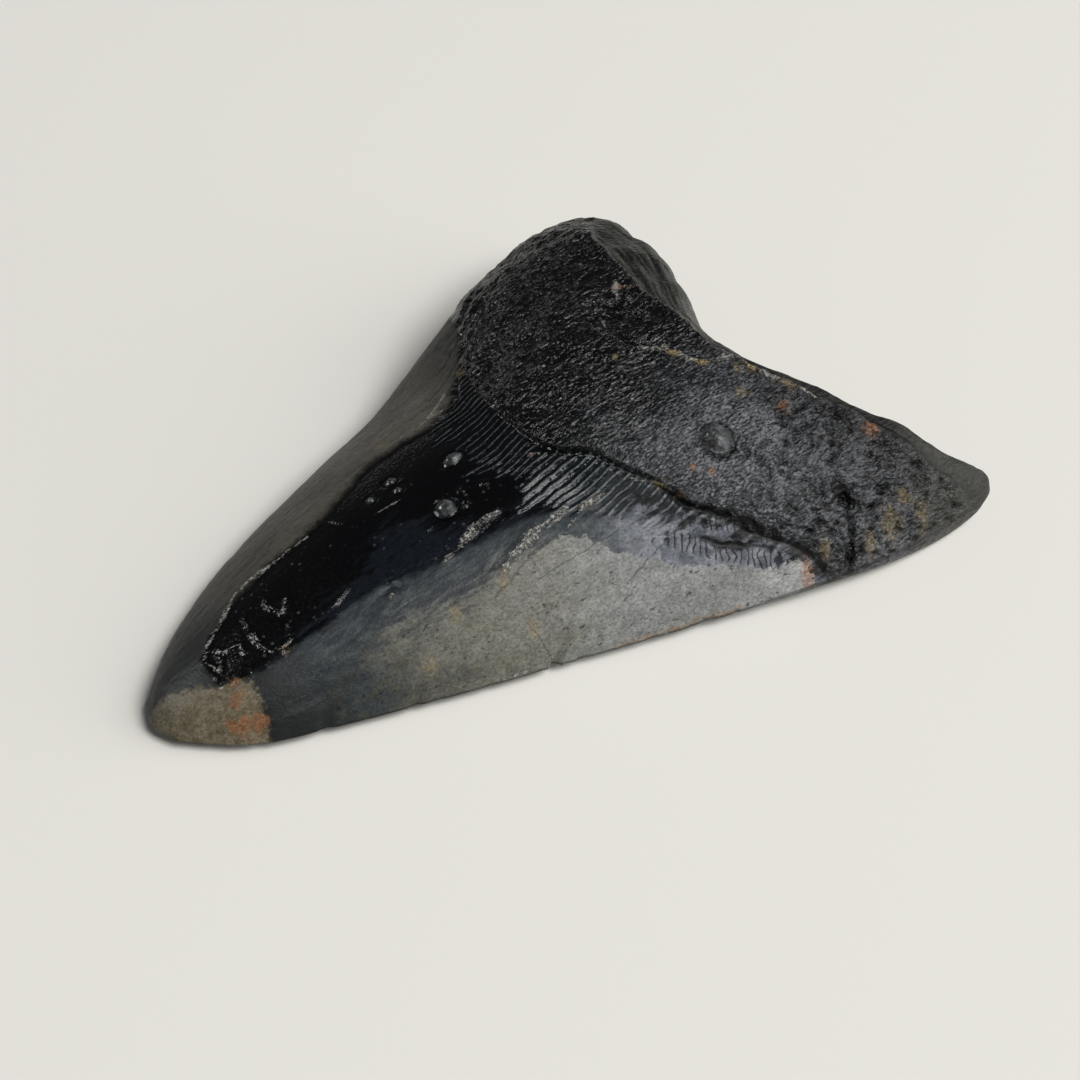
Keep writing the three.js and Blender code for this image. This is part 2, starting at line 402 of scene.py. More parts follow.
def domed_face(along, across, x):
    """Height of the tongue-side face: the crown's dome, blending into the root's body."""
    rim = rim_height(along, across)
    ridge = CROWN_RIDGE_HEIGHT * (np.maximum(x, 0) / CROWN_RIDGE_LENGTH) ** CROWN_RIDGE_POWER
    crown = ridge * (1 - across ** 2) ** CROWN_DOME_POWER
    crown *= quarter_round(along * TOOTH_LENGTH, TIP_ROUNDING)
    height = ROOT_HEIGHT - LOBE_DROP * across ** 2 - ROOT_TILT * across
    height -= POINTED_LOBE_DROP * smoothstep(across, POINTED_LOBE_FROM, 1)
    side = quarter_round((1 - np.abs(across)) * HALF_ROOT_WIDTH, ROOT_SIDE_ROUNDING)
    root = (height - rim) * side ** ROOT_SIDE_POWER
    rooted = smoothstep(along + ROOT_CHEVRON * across ** 2, *ROOT_BLEND)
    inset = (1 - along) * TOOTH_LENGTH
    strip = BASAL_STRIP - BASAL_STRIP_NARROWING * smoothstep(across, *STRIP_NARROWS)
    slope = 1 - BASAL_SLOPE * (1 - np.clip(inset / strip, 0, 1)) ** BASAL_SLOPE_POWER
    return rim + lerp(crown, root, rooted) * quarter_round(inset, BASAL_ROUNDING) * slope


def flat_face(along, across):
    """Height of the lip-side face that the tooth lies on."""
    inset = (1 - np.abs(across)) * lerp(HALF_TIP_WIDTH, HALF_ROOT_WIDTH, along)
    side = lerp(
        bevel(inset, CROWN_BEVEL), quarter_round(inset, ROOT_UNDER_ROUNDING), smoothstep(along, *RIM_ROOT)
    )
    tip = bevel(along * TOOTH_LENGTH, TIP_BEVEL)
    basal = quarter_round((1 - along) * TOOTH_LENGTH, BASAL_UNDER_ROUNDING)
    return rim_height(along, across) * (1 - side * tip * basal)


def skin_grid():
    """Along and across of each grid point of the domed sheet."""
    s = np.linspace(0, 1, STEPS_ALONG + 1)
    along = (1 + ROOT_CLOSENESS) * s - ROOT_CLOSENESS * s ** 2
    t = np.linspace(0, 1, STEPS_ACROSS + 1)
    across = 2 * lerp(t, 0.5 * (1 - np.cos(math.pi * t)), RIM_CLOSENESS) - 1
    return np.meshgrid(along, across, indexing="ij")


def plan_shift():
    """From the outline's own frame to the row frame, by the middles of the two boxes."""
    plan = place_in_plan(*skin_grid()).reshape(-1, 2)
    return (TOOTH_LOW + TOOTH_HIGH)[:2] / 2 - (plan.min(0) + plan.max(0)) / 2


PLAN_SHIFT = plan_shift()


def surface_normals(sheet):
    """Unit normals of a sheet of grid points, facing away from the rim's far side."""
    normals = np.cross(np.gradient(sheet, axis=0), np.gradient(sheet, axis=1))
    normals /= np.linalg.norm(normals, axis=-1, keepdims=True)
    return -normals


# ---------------------------------------------------------------- wear of the domed face

# relief_shade is painted shade and light that follow the relief: darker in creases, cracks, ledges and
# round the domes, lighter on raised grains
ZONE_NAMES = [
    "root", "core", "fade", "band", "patch", "tip", "strip", "phase", "ridges", "groove_phase", "grooves",
    "hair_side", "hair_near", "crumbs", "specks", "grey", "relief_shade", "domes", "rust", "ochre", "rim",
]

# How far the zones' borders wander, and how far the one does where the core fades
BORDER_WANDER = 0.30
FADE_WANDER = 0.8

# Heights and depths of the relief
SWELLING = 0.28
CORE_DEPTH = 0.40
CRUMB_HEIGHT = 0.16
STREAK_HEIGHT = 0.05
RIDGE_HEIGHT = 0.36
GROOVE_DEPTH = 0.22
GRAIN_HEIGHT = 0.15
WORM_HEIGHT = 0.26
KNOB_HEIGHT = 0.20
RUGGED_KNOB_HEIGHT = 0.40
ROOT_SWELLING = 0.50
SHOULDER_HEIGHT = 0.30
SHOULDER_DROP = 0.75
SEAM_STEP = 0.40
SEAM_DEPTH = 0.35
LEDGE_DEPTH = 0.45
DOME_MOAT_DEPTH = 0.25
FLAT_WORM_DEPTH = 0.10

# The ridges' pitch, how far each sways, how unequal their ends are, and how sharp their crests
RIDGE_SPACING = 0.92
RIDGE_WOBBLE = 0.45
RIDGE_RAGGEDNESS = 2.0
RIDGE_SHARPNESS = 1.7
# How much farther they reach down the crown on the pointed side
RIDGE_LENGTHENING = 1.4
GROOVE_SPACING = 0.78


class Wear:
    """Zones (mm inside each, or a strength 0 to 1) and relief (mm outwards) over a sheet."""

    def __init__(self, points):
        self.points = points
        self.x, self.y = points[..., 0], points[..., 1]
        self.zones = {name: np.zeros(points.shape[:-1]) for name in ZONE_NAMES}
        self.relief = np.zeros(points.shape[:-1])

    def strengthen(self, name, strength):
        self.zones[name] = np.maximum(self.zones[name], strength)

    def put_where(self, chosen, **values):
        for name, value in values.items():
            self.zones[name] = np.where(chosen, value, self.zones[name])


def greyness(points):
    """0 on the black side of the root, by the blunt lobe, and 1 on the grey side."""
    across_root = points[..., 1] - 0.15 * points[..., 0]
    return smoothstep(across_root + 2.5 * noise(points, 7.0, SEED + 11, 2), -1, -20)


def domed_zones(wear):
    """Depth inside every zone, a little ragged at its border."""
    points, zones = wear.points, wear.zones
    ragged = BORDER_WANDER * noise(points, 1.6, SEED, 3)
    rough = FADE_WANDER * noise(points, 4.0, SEED + 10, 3)
    zones["root"] = beyond(points, ROOT_LINE, ROOT_CORNERS) + ragged
    zones["core"] = beyond(points, FAR_BORDER, CORE_CORNERS) + ragged
    zones["fade"] = beyond(points, FADE_LINE, FADE_CORNERS) + rough
    zones["band"] = beyond(points, BAND_LINE, FADE_CORNERS) + ragged
    zones["patch"] = beyond(points, PATCH_BORDER, PATCH_CORNERS) + ragged
    zones["tip"] = depth_inside(points, TIP_PATCH) + 0.7 * ragged
    zones["strip"] = beyond(points, SHOULDER, SHOULDER_CORNERS) + ragged
    zones["grey"] = greyness(points)


def core_relief(wear):
    """The bare core lies lower than the enamel, with crumbs along the broken borders."""
    points, zones = wear.points, wear.zones
    sunk = smoothstep(zones["core"], -0.3, 0.8) * (1 - smoothstep(zones["band"], -0.5, 0.6))
    sunk *= 1 - smoothstep(zones["root"], -5, 0)
    wear.relief -= CORE_DEPTH * sunk
    frayed = noise(drawn_out(points, 0.6), 1.2, SEED + 30, 2)
    for line, half_width in CRUSTS:
        gap, share = distance_to(points, line)
        gap = gap + (0.08 + 0.5 * half_width) * frayed
        width = half_width * (1.3 - 0.6 * np.abs(2 * share - 1))
        wear.strengthen("crumbs", smoothstep(gap, 1.4 * width, 0.2 * width))
    wear.relief += CRUMB_HEIGHT * zones["crumbs"]
    zones["specks"] = sunk * smoothstep(noise(points, 5.0, SEED + 34, 2), -0.2, 0.5)
    streaks = noise(drawn_out(points, 0.12), 1.1, SEED + 33, 2)
    wear.relief += STREAK_HEIGHT * streaks * (1 - 0.8 * sunk)


def ridge_relief(wear):
    """Fine parallel ridges over the bourlette, each with its own ragged ends."""
    points, zones = wear.points, wear.zones
    bourlette = np.minimum(beyond(points, CROWN_LINE, BOURLETTE_CORNERS), -zones["root"])
    phase = (wear.y + RIDGE_WOBBLE * noise(points, 5.0, SEED + 20, 2)) / RIDGE_SPACING
    number = np.round(phase).astype(int)
    chance = cell_random(np.stack([number, number], axis=-1), SEED + 21, 2)
    crest = 1 - 2 * np.abs(phase - number)
    longer = RIDGE_LENGTHENING * smoothstep(wear.y, -4, -10)
    reach = bourlette + RIDGE_RAGGEDNESS * chance[..., 0] + 1.0 + longer
    strength = smoothstep(reach, 0, 1.0) * smoothstep(-zones["root"], -1.2, 0.2)
    strength *= smoothstep(zones["core"], -0.6, 0.6) * (0.85 + 0.15 * chance[..., 1])

    # Towards the pointed edge the ridges keep only to the root's side, and then end
    towards_edge = wear.x - wear.y
    by_root = smoothstep(zones["root"], -2.4, -1.2)
    strength *= np.maximum(by_root, 1 - smoothstep(towards_edge, 20, 25))
    strength *= 1 - smoothstep(towards_edge, 44, 50)
    strength *= smoothstep(noise(drawn_out(points, 0.3), 1.1, SEED + 22), -1.0, -0.35)
    zones["phase"] = phase
    zones["ridges"] = strength
    wear.relief += RIDGE_HEIGHT * (crest ** RIDGE_SHARPNESS - 0.4) * strength


def groove_relief(wear):
    """Rows of short grooves, each row numbered along its own line."""
    points, zones = wear.points, wear.zones
    nearest = np.full(points.shape[:-1], np.inf)
    sway = 0.5 * noise(points, 1.5, SEED + 24, 2)
    for line, half_width in GROOVES:
        gap, share = distance_to(points, line)
        length = np.linalg.norm(np.diff(line, axis=0), axis=1).sum()
        phase = share * length / GROOVE_SPACING + sway
        strength = smoothstep(gap + 0.4 * sway, half_width, 0.3)
        wear.put_where(gap < nearest, groove_phase=phase, grooves=strength)
        nearest = np.minimum(nearest, gap)
    phase = zones["groove_phase"]
    wear.relief -= GROOVE_DEPTH * hump(phase - np.round(phase), 0.35) * zones["grooves"]


def root_relief(wear):
    """Elongated grains and folds over the root, and the smoother strip past the shoulder."""
    points, zones = wear.points, wear.zones
    rooted = smoothstep(zones["root"], -0.3, 0.8)
    smooth = smoothstep(zones["strip"], -0.5, 0.5)
    rugged = smoothstep(wear.x - 0.6 * wear.y, 28, 42) * (1 - smooth)
    grains = noise(drawn_out(points, 0.45), 0.75, SEED + 41, 2)
    worms = 1 - 2.2 * np.abs(noise(drawn_out(points, 0.7), 1.15, SEED + 40, 2))
    knobs = np.abs(noise(drawn_out(points, 0.8), 3.2, SEED + 42, 2)) - 0.3
    wear.relief += rooted * (1 - 0.8 * smooth) * GRAIN_HEIGHT * grains
    wear.relief += rooted * rugged * WORM_HEIGHT * worms
    wear.relief += rooted * (KNOB_HEIGHT + RUGGED_KNOB_HEIGHT * rugged) * knobs * (1 - 0.7 * smooth)
    wear.relief += rooted * ROOT_SWELLING * noise(drawn_out(points, 0.7), 7.5, SEED + 44, 2)

    # The shoulder's rim and the drop past it fade out round the blunt lobe
    fading = rooted * (1 - smoothstep(wear.y, 21, 27))
    rim = SHOULDER_HEIGHT * hump(zones["strip"] + 0.5, 1.2)
    wear.relief += fading * (rim - SHOULDER_DROP * smoothstep(zones["strip"], -0.4, 0.9))
    # Painted shade and light by the relief: darker in the hollows of the grains and worm-like folds,
    # lighter on their raised parts
    zones["relief_shade"] = rooted * (0.5 * grains + rugged * 0.9 * (worms - 0.35)) * (1 - smooth)


def seam_relief(wear, sway):
    """The root stands over the bourlette on the pointed side, over an undercut seam."""
    zones = wear.zones
    seam, share = distance_to(wear.points, ROOT_LINE)
    undercut = smoothstep(share, 0.40, 0.55)
    shifted = seam * np.sign(zones["root"]) + 0.30 + 0.4 * sway
    step = smoothstep(zones["root"], -0.2, 0.3) * smoothstep(seam, 7, 0)
    wear.relief += undercut * (SEAM_STEP * step - SEAM_DEPTH * hump(shifted, 0.50))
    # Painted shade: a dark line in the undercut under the seam
    zones["relief_shade"] -= 0.9 * undercut * hump(shifted, 0.42)


def line_relief(wear):
    """Ledges, cracks and folds, each along its own line."""
    points, zones = wear.points, wear.zones
    sway = 0.35 * noise(points, 1.3, SEED + 43, 2)
    seam_relief(wear, sway)
    for ledge in LEDGES:
        gap, share = distance_to(points, ledge)
        ends = smoothstep(share, 0, 0.15) * (1 - smoothstep(share, 0.9, 1))
        cut = hump(gap + 0.8 * sway, 0.42) * ends
        wear.relief -= LEDGE_DEPTH * cut
        # Painted shade: dark along each ledge's undercut
        zones["relief_shade"] -= 1.3 * cut
    for line, half_width, depth in CRACKS:
        gap, _ = distance_to(points, line)
        cut = hump(gap + sway * half_width, half_width)
        wear.relief -= depth * cut
        # Painted shade: dark in each crack, and painted light along a fold that stands proud
        zones["relief_shade"] -= 1.4 * depth * cut
    hairline_zones(wear, sway)


def hairline_zones(wear, sway):
    """The side of the nearest hairline that a point is on, in mm, and how near the line is."""
    nearest = np.full(wear.x.shape, np.inf)
    for start, end in HAIRLINES:
        gap, _ = distance_to(wear.points, (start, end))
        run_x, run_y = np.subtract(end, start) / np.linalg.norm(np.subtract(end, start))
        side = run_x * (wear.y - start[1]) - run_y * (wear.x - start[0])
        near = smoothstep(gap, 0.9, 0.5)
        wear.put_where(gap < nearest, hair_side=side + 0.5 * sway, hair_near=near)
        nearest = np.minimum(nearest, gap)


def spot_relief(wear):
    """Small domes and crumbed mounds."""
    for x, y, radius, height, longer in DOMES:
        reach = np.hypot((wear.x - x) / longer, wear.y - y)
        wear.relief += height * quarter_round(radius - reach, radius)
        wear.relief -= DOME_MOAT_DEPTH * hump(reach - radius, 0.5)
        # Painted shade: a dark ring round each dome, over its moat
        wear.zones["relief_shade"] -= 1.1 * hump(reach - 1.1 * radius, 0.40)
        wear.strengthen("domes", smoothstep(reach, radius, 0.8 * radius))
    for x, y, radius, height in MOUNDS:
        reach = np.hypot(wear.x - x, wear.y - y)
        wear.relief += height * hump(reach, 1.3 * radius)
        wear.strengthen("crumbs", 0.55 * hump(reach, 1.2 * radius))


def stain_zones(wear):
    """How strong the stains are, in spots and along the cutting edge."""
    start, end = EDGE_STAIN
    edge = smoothstep(wear.x, start, start + 2) * smoothstep(wear.x, end, end - 2)
    edge *= smoothstep(wear.zones["rim"], 1.1, 0.3) * (wear.y < 0)
    for name, spots in (("rust", RUST_SPOTS), ("ochre", OCHRE_SPOTS)):
        for x, y, radius in spots:
            wear.strengthen(name, hump(np.hypot(wear.x - x, wear.y - y), 1.5 * radius))
        wear.strengthen(name, 0.75 * edge)


def domed_wear(points, inset):
    wear = Wear(points)
    wear.zones["rim"] = inset
    domed_zones(wear)
    wear.relief += SWELLING * noise(points, 17.0, SEED + 50, 2)
    core_relief(wear)
    ridge_relief(wear)
    groove_relief(wear)
    root_relief(wear)
    line_relief(wear)
    spot_relief(wear)
    stain_zones(wear)
    return wear


# ---------------------------------------------------------------- wear of the flat face

# Where its root begins, how much nearer the root's end its smoother strip begins, where its worn
# tip ends, and a depth that keeps the pale patch away from it
FLAT_ROOT_LINE = [(19, 34), (14, 22), (9, 10), (7.5, 0), (9, -10), (14, -22), (24, -36)]
FLAT_ROOT_CORNERS = [(80, -36), (80, 34)]
FLAT_STRIP_SHIFT = (5, 0, 0)
FLAT_TIP_X = -44
NO_PATCH = -20.0


def flat_wear(points, inset):
    """The lip-side face: plain enamel up to an arched line, then the root."""
    wear = Wear(points)
    zones = wear.zones
    ragged = 0.5 * noise(points, 2.2, SEED + 60, 3)
    worms = 1 - 2 * np.abs(noise(points, 1.6, SEED + 63, 2))
    zones["rim"] = inset
    zones["root"] = beyond(points, FLAT_ROOT_LINE, FLAT_ROOT_CORNERS) + ragged
    zones["fade"] = 6 + 6 * noise(drawn_out(points, 0.4), 12.0, SEED + 61, 3)
    zones["band"] = zones["fade"] - 2
    zones["tip"] = FLAT_TIP_X - wear.x + ragged
    zones["core"] = 3 * noise(points, 16.0, SEED + 62, 2) - 0.35 * wear.y
    zones["patch"] = np.full(points.shape[:-1], NO_PATCH)
    zones["strip"] = beyond(points - FLAT_STRIP_SHIFT, SHOULDER, SHOULDER_CORNERS) + ragged
    zones["grey"] = greyness(points)
    rooted = smoothstep(zones["root"], -0.3, 0.8)
    # Painted shade by the relief: darker in the hollows of the worm-like folds on the root
    zones["relief_shade"] = rooted * (worms - 0.4) * smoothstep(zones["strip"], 0.5, -0.5)
    wear.relief -= FLAT_WORM_DEPTH * (1 - np.clip(worms, 0, 1)) * rooted
    return wear


# ---------------------------------------------------------------- the mesh

def add_object(name, data):
    made = bpy.data.objects.new(name, data)
    bpy.context.collection.objects.link(made)
    return made


RIM_FADE = 1.2


def rim_fade(along, across):
    """0 on the rim and 1 from a little inwards, so that both sheets keep one rim."""
    half_width = lerp(HALF_TIP_WIDTH, HALF_ROOT_WIDTH, along)
    side = (1 - np.abs(across)) * half_width
    ends = np.minimum(along, 1 - along) * TOOTH_LENGTH
    return smoothstep(np.minimum(side, ends), 0, RIM_FADE)


# The notch in the pointed edge, and the small nicks in both edges, which end at the root
NOTCH_X = -9.3
NOTCH_DEPTH = 1.1
NOTCH_HALF_WIDTH = 0.8
NICK_DEPTH = 0.45
NICK_SPACING = 2.4
NICK_REACH = 1.3
NICKS_END = (0.75, 0.85)


def nicked_plan(along, across):
    """The plan, with small nicks and one notch worn into the cutting edges."""
    plan = place_in_plan(along, across)
    sides = np.where(across > 0, 1.0, -1.0)
    rim = place_in_plan(along, sides)
    inwards = place_in_plan(along, np.zeros_like(along)) - rim
    inwards /= np.linalg.norm(inwards, axis=-1, keepdims=True)
    nicks = np.clip(noise(rim, NICK_SPACING, SEED + 70, 3), 0, 1) * NICK_DEPTH
    notch = NOTCH_DEPTH * hump(rim[..., 0] + PLAN_SHIFT[0] - NOTCH_X, NOTCH_HALF_WIDTH) * (sides > 0)
    inset = np.linalg.norm(plan - rim, axis=-1)
    crown = 1 - smoothstep(along, *NICKS_END)
    depth = (nicks * crown + notch) * np.exp(-inset / NICK_REACH)
    return plan + inwards * depth[..., None], inset


def flat_faces(numbers):
    """Faces of the flat sheet, as point numbers and as grid places.

    A face on the rim takes in every rim point of its side.
    """
    faces = []
    last_i, last_j = STEPS_ALONG, STEPS_ACROSS
    for i in range(0, last_i, FLAT_STRIDE):
        for j in range(0, last_j, FLAT_STRIDE):
            i_end, j_end = i + FLAT_STRIDE, j + FLAT_STRIDE
            step_i_low = 1 if j == 0 else FLAT_STRIDE
            step_j_high = 1 if i_end == last_i else FLAT_STRIDE
            step_i_high = 1 if j_end == last_j else FLAT_STRIDE
            step_j_low = 1 if i == 0 else FLAT_STRIDE
            loop = [(k, j) for k in range(i, i_end, step_i_low)]
            loop += [(i_end, k) for k in range(j, j_end, step_j_high)]
            loop += [(k, j_end) for k in range(i_end, i, -step_i_high)]
            loop += [(i, k) for k in range(j_end, j, -step_j_low)]
            faces.append(loop)
    return [[numbers[corner] for corner in loop] for loop in faces], faces


def turn_rim_corners(faces):
    """Start two corner faces one point later, so that no diagonal joins two points of the rim."""
    for i, j in ((0, -1), (-1, 0)):
        faces[i, j] = np.roll(faces[i, j], 1, axis=0)


def tooth_skin():
    """The whole skin as one closed mesh, with its zones stored at each point."""
    along, across = skin_grid()
    plan, inset = nicked_plan(along, across)
    x = plan[..., 0]
    plan = plan + PLAN_SHIFT
    domed = np.concatenate([plan, domed_face(along, across, x)[..., None]], axis=-1)
    flat = np.concatenate([plan, flat_face(along, across)[..., None]], axis=-1)
    keep = rim_fade(along, across)

    top = domed_wear(domed, inset)
    domed_out = domed + surface_normals(domed) * (top.relief * keep)[..., None]

    inner = np.zeros(along.shape, bool)
    inner[FLAT_STRIDE:-1:FLAT_STRIDE, FLAT_STRIDE:-1:FLAT_STRIDE] = True
    under = flat_wear(flat[inner], inset[inner])
    flat_out = flat[inner]
    flat_out[:, 2] -= under.relief * keep[inner]

    numbers = np.arange(along.size).reshape(along.shape)
    below = numbers.copy()
    below[inner] = along.size + np.arange(inner.sum())
    quads = np.stack([numbers[:-1, :-1], numbers[:-1, 1:], numbers[1:, 1:], numbers[1:, :-1]], axis=-1)
    turn_rim_corners(quads)
    under_faces, under_grid = flat_faces(below)
    points = np.concatenate([domed_out.reshape(-1, 3), flat_out]) * MM
    points[:, 2] = np.maximum(points[:, 2], TOOTH_LOW[2] * MM)

    mesh = bpy.data.meshes.new("tooth_surface")
    mesh.from_pydata(points.tolist(), [], quads.reshape(-1, 4).tolist() + under_faces)
    for name in ZONE_NAMES:
        values = np.concatenate([top.zones[name].ravel(), under.zones[name]])
        mesh.attributes.new(name, "FLOAT", "POINT").data.foreach_set("value", values.astype(np.float32))
    add_fibre_places(mesh, along, across, inner)
    add_bake_map(mesh, under_grid)
    mesh.shade_smooth()
    mesh.update()
    return add_object("tooth_surface", mesh)


def add_fibre_places(mesh, along, across, inner):
    """Places that follow the root's end, in mm, for fibres that run along it."""
    places = np.stack([along * TOOTH_LENGTH, across * HALF_ROOT_WIDTH, np.zeros_like(along)], axis=-1)
    both = np.concatenate([places.reshape(-1, 3), places[inner]])
    mesh.attributes.new("fibres", "FLOAT_VECTOR", "POINT").data.foreach_set(
        "vector", both.astype(np.float32).ravel())


# Each sheet's room in the bake map: its width and height, and its lower left corner
DOMED_ROOM = ((0.98, 0.64), (0.01, 0.35))
FLAT_ROOM = ((0.98, 0.32), (0.01, 0.01))


def room_places(grid_places, room):
    extent, corner = room
    return grid_places / (STEPS_ALONG, STEPS_ACROSS) * extent + corner


def add_bake_map(mesh, under_grid):
    """A map that gives each grid step the same room: the domed sheet above, the flat one below."""
    i, j = np.meshgrid(np.arange(STEPS_ALONG), np.arange(STEPS_ACROSS), indexing="ij")
    corners = [(i, j), (i, j + 1), (i + 1, j + 1), (i + 1, j)]
    domed = np.stack([np.stack(corner, -1) for corner in corners], axis=-2)
    turn_rim_corners(domed)
    flat = np.array([corner for loop in under_grid for corner in loop])
    places = [room_places(domed.reshape(-1, 2), DOMED_ROOM), room_places(flat, FLAT_ROOM)]
    bake = mesh.uv_layers.new(name="OFBake")
    bake.data.foreach_set("uv", np.concatenate(places).astype(np.float32).ravel())


# ---------------------------------------------------------------- the material

def srgb(red, green, blue):
    """A colour as a screen shows it, 0 to 255, as the linear colour that a shader takes."""
    shares = [value / 255 for value in (red, green, blue)]
    return [s / 12.92 if s <= 0.04045 else ((s + 0.055) / 1.055) ** 2.4 for s in shares] + [1]


CORE_BLACK = srgb(2, 2, 3)
CORE_BLUE = srgb(16, 20, 26)
BAND_DARK = srgb(27, 33, 39)
BAND_BLUE = srgb(47, 55, 59)
NEAR_DARK = srgb(20, 23, 23)
NEAR_BLUE = srgb(35, 42, 47)
NEAR_MOSS = srgb(51, 52, 45)
NEAR_OLIVE = srgb(98, 97, 88)
NEAR_GREY = srgb(117, 119, 118)
NEAR_PALE = srgb(139, 141, 140)
FAR_ENAMEL = srgb(84, 80, 72)
FAR_DARK = srgb(42, 41, 37)
FAR_BLACK = srgb(18, 21, 22)
TIP_BEIGE = srgb(84, 77, 60)
TIP_PALE = srgb(104, 96, 80)
RUST = srgb(134, 94, 68)
TIP_RUST = srgb(112, 74, 46)
OCHRE = srgb(120, 106, 74)
SLATE = srgb(110, 113, 121)
SLATE_DARK = srgb(82, 86, 94)
COMB_BLACK = srgb(7, 10, 12)
COMB_TEAL = srgb(16, 30, 35)
# Painted glints: bright specks over the root
PAINTED_GLINT = srgb(122, 123, 120)
CRUMB = srgb(150, 149, 144)
OCHRE_CRUMB = srgb(160, 142, 106)
SPECK = srgb(62, 64, 66)
DOME_OLIVE = srgb(44, 46, 42)
DOME_GREY = srgb(78, 84, 88)
# Painted highlight along the ridge crests
PAINTED_CREST_HIGHLIGHT = srgb(98, 101, 103)
ROOT_PIT_BLACK = srgb(2, 2, 3)
# The root's grain crests: their own paler colour with painted glints in it
ROOT_GLINTED_CREST_BLACK = srgb(62, 63, 64)
ROOT_PIT_GREY = srgb(31, 33, 36)
ROOT_GLINTED_CREST_GREY = srgb(92, 94, 99)
STRIP_DARK = srgb(6, 7, 6)
STRIP_PALE = srgb(60, 60, 56)
LOBE_OLIVE = srgb(52, 52, 49)

BUMP_HEIGHT = 0.55 * MM
FOSSIL_SPECULAR = 0.25


class Value:
    """A number that shader nodes work out. Each sum, product or rise of it is one more node."""

    def __init__(self, make, socket):
        self.make, self.socket = make, socket

    def maths(self, operation, other):
        made = self.make.node("ShaderNodeMath", {0: self, 1: other}, operation=operation)
        return Value(self.make, made.outputs[0])

    def __add__(self, other):
        return self.maths("ADD", other)

    def __mul__(self, other):
        return self.maths("MULTIPLY", other)

    def absolute(self):
        return self.maths("ABSOLUTE", 0)

    def from_whole(self):
        """Distance from the nearest whole number, 0 to 0.5."""
        return self.maths("PINGPONG", 0.5)

    def rise(self, start, end, low=0.0, high=1.0):
        """Goes smoothly from low to high as this value goes from start to end."""
        inputs = {"Value": self, "From Min": start, "From Max": end, "To Min": low, "To Max": high}
        made = self.make.node("ShaderNodeMapRange", inputs, interpolation_type="SMOOTHSTEP")
        return Value(self.make, made.outputs[0])


class Recipe:
    """Makes shader nodes. A number comes back as a Value, and a colour as its socket."""

    def __init__(self, material):
        self.tree = material.node_tree
        self.tree.nodes.clear()
        metres = self.node("ShaderNodeTexCoord").outputs["Object"]
        place = self.node("ShaderNodeVectorMath", {0: metres, "Scale": 1 / MM}, operation="SCALE")
        self.place = place.outputs[0]
        axes = self.node("ShaderNodeSeparateXYZ", {0: self.place}).outputs
        self.x, self.y = Value(self, axes["X"]), Value(self, axes["Y"])
        self.ragged = self.noise(0.7, 4, 0.65).rise(0.2, 0.8, -0.35, 0.35)

    def node(self, kind, inputs=None, **settings):
        """A new node with its settings, and with a value or another node's result at each input."""
        made = self.tree.nodes.new(kind)
        for name, value in settings.items():
            setattr(made, name, value)
        for name, value in (inputs or {}).items():
            value = value.socket if isinstance(value, Value) else value
            if isinstance(value, bpy.types.NodeSocket):
                self.tree.links.new(value, made.inputs[name])
            else:
                made.inputs[name].default_value = value
        return made

    def zone(self, name):
        return Value(self, self.node("ShaderNodeAttribute", attribute_name=name).outputs["Fac"])

    def drawn_out(self, along, across=1, place=None):
        """Places squeezed by shares, so that a texture over them is drawn out."""
        inputs = {0: place or self.place, 1: (along, across, 1)}
        return self.node("ShaderNodeVectorMath", inputs, operation="MULTIPLY").outputs[0]

    def noise(self, size, detail=2.0, roughness=0.55, along=1, across=1, place=None):
        """Noise of about 0..1, with lumps of about the given size in mm."""
        places = self.drawn_out(along, across, place)
        inputs = {"Vector": places, "Scale": 1 / size, "Detail": detail, "Roughness": roughness}
        return Value(self, self.node("ShaderNodeTexNoise", inputs).outputs["Fac"])

    def cells(self, size, along=1):
        """Distance from the nearest of scattered points, about 0..1."""
        inputs = {"Vector": self.drawn_out(along), "Scale": 1 / size}
        return Value(self, self.node("ShaderNodeTexVoronoi", inputs).outputs["Distance"])

    def blend(self, share, first, second):
        """The first colour where the share is 0, the second where it is 1."""
        inputs = {"Factor": share, "A": first, "B": second}
        return self.node("ShaderNodeMix", inputs, data_type="RGBA").outputs["Result"]


def far_enamel(make):
    """Grey-brown enamel on the blunt side, darker towards the tip and towards the root."""
    blotches = make.noise(8.0, 3, 0.6, along=0.5)
    colour = make.blend(blotches.rise(0.38, 0.62, 0.35, 1.0), FAR_DARK, FAR_ENAMEL)
    colour = make.blend(make.x.rise(-24, -44, 0, 0.85), colour, FAR_DARK)
    colour = make.blend(make.x.rise(-34, -43), colour, FAR_BLACK)
    return make.blend(make.x.rise(-2, 12), colour, FAR_DARK)


def near_enamel(make):
    """Enamel on the pointed side: dark by the tip, then blue-grey, olive and pale grey."""
    x = make.x + make.noise(6.0, 4, 0.65, along=0.45).rise(0.25, 0.75, -6, 6)
    mixed = make.blend(make.noise(2.2, 4, 0.65).rise(0.42, 0.62), NEAR_BLUE, NEAR_MOSS)
    colour = make.blend(x.rise(-42, -29), NEAR_DARK, mixed)
    colour = make.blend(x.rise(-34, -13), colour, NEAR_OLIVE)
    colour = make.blend(x.rise(-18, 6), colour, NEAR_GREY)
    return make.blend(x.rise(8, 20), colour, NEAR_PALE)


